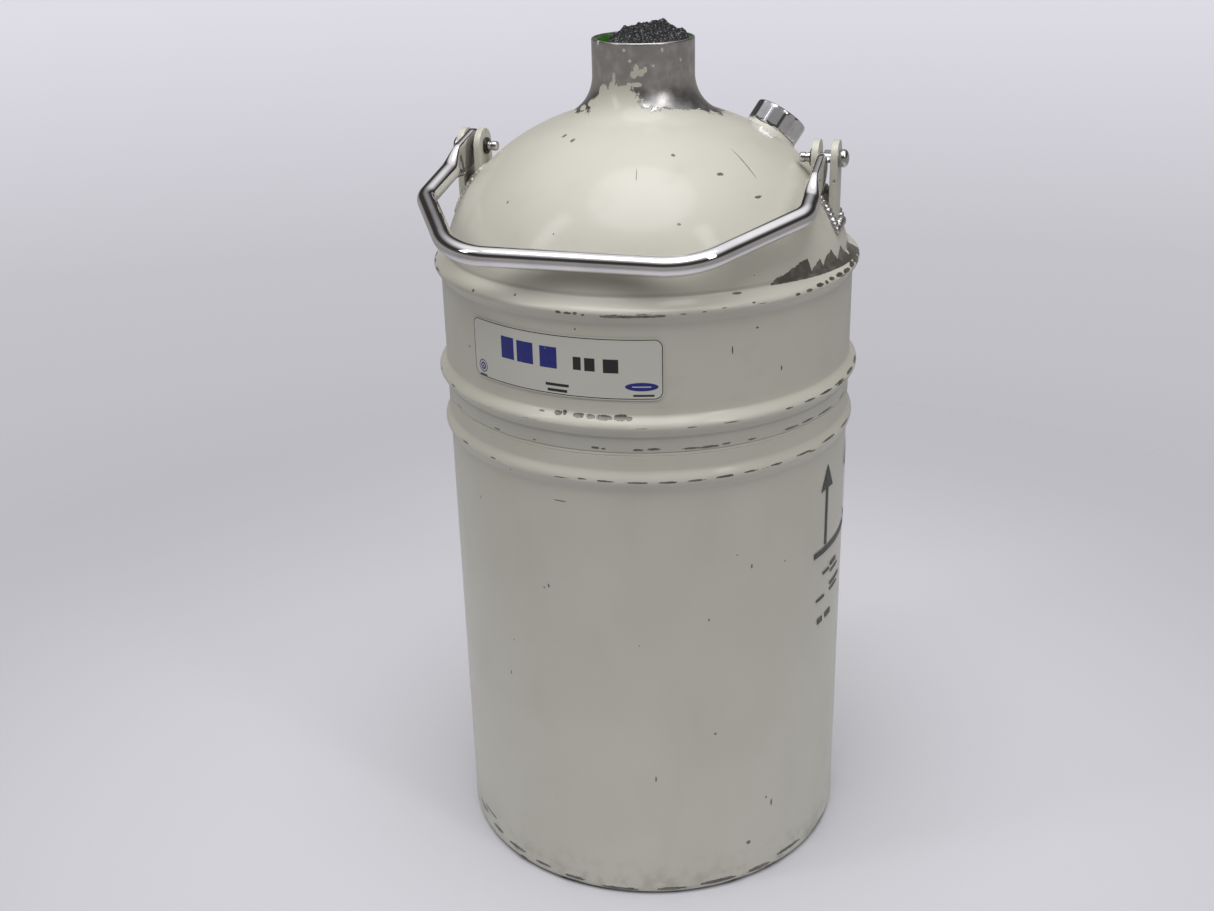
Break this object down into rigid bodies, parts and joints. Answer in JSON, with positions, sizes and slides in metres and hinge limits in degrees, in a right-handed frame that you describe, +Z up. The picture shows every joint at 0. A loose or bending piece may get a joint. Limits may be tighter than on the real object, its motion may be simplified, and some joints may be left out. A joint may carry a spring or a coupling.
{
  "type": "liquid nitrogen dewar",
  "caption": "Free-standing vacuum vessel for liquid nitrogen, with beaded shell, domed shoulder, narrow neck, foam plug, evacuation port and swinging carry handle.",
  "frame": {"origin": "on the vessel's axis, at the floor under its foot", "axes": "+Z up along the vessel's axis, +X along the handle's pivots, -Y towards the label and the handle at rest"},
  "size_m": [0.2696, 0.2696, 0.545],
  "materials": {
    "cream_paint": "gloss",
    "bare_aluminium": "satin",
    "polished_handle": "polished",
    "polished_cap": "polished",
    "pin_steel": "satin",
    "glass_fibre_tube": "satin",
    "black_foam": "matte",
    "insulation_foil": "satin",
    "getter_pouch": "matte",
    "black_rubber": "matte",
    "bond_resin": "gloss",
    "label_film": "satin",
    "decal_ink": "satin"
  },
  "bodies": {
    "vessel": {"upper_shell": "cream_paint", "lower_shell": "cream_paint", "bottom_head": "cream_paint", "left_inner_ear": "cream_paint", "left_outer_ear": "cream_paint", "right_inner_ear": "cream_paint", "right_outer_ear": "cream_paint", "port_weld_collar": "cream_paint", "bottom_weld": "bare_aluminium", "girth_weld": "bare_aluminium", "left_inner_ear_weld": "bare_aluminium", "left_outer_ear_weld": "bare_aluminium", "right_inner_ear_weld": "bare_aluminium", "right_outer_ear_weld": "bare_aluminium", "inner_vessel_top": "bare_aluminium", "inner_vessel_body": "bare_aluminium", "inner_girth_weld": "bare_aluminium", "port_boss": "bare_aluminium", "left_pin": "pin_steel", "right_pin": "pin_steel", "left_pin_retaining_ring": "pin_steel", "right_pin_retaining_ring": "pin_steel", "neck_tube": "glass_fibre_tube", "insulation_side": "insulation_foil", "insulation_top": "insulation_foil", "insulation_bottom": "insulation_foil", "adsorbent_pack": "getter_pouch", "getter_pack": "getter_pouch", "neck_bond_ring": "bond_resin", "front_label": "label_film", "side_decal": "decal_ink"},
    "handle": {"handle_tube": "polished_handle"},
    "neck_plug": {"neck_plug_foam": "black_foam"},
    "port_cap": {"port_cap": "polished_cap"},
    "relief_plug": {"relief_plug": "bare_aluminium", "relief_plug_o_ring": "black_rubber"}
  },
  "joints": [
    {"name": "handle_swing", "type": "hinge", "parent": "vessel", "child": "handle", "pos_m": [0, 0, 0.466], "axis": [-1, 0, 0], "range_deg": [0, 211.4]},
    {"name": "neck_plug_lift", "type": "slide", "parent": "vessel", "child": "neck_plug", "axis": [0, 0, 1], "range_m": [0, 0.12]},
    {"name": "port_cap_pull", "type": "slide", "parent": "vessel", "child": "port_cap", "axis": [0.4608, 0.4208, 0.7814], "range_m": [0, 0.018]},
    {"name": "relief_plug_lift", "type": "slide", "parent": "vessel", "child": "relief_plug", "axis": [0.4608, 0.4208, 0.7814], "range_m": [0, 0.002]}
  ]
}
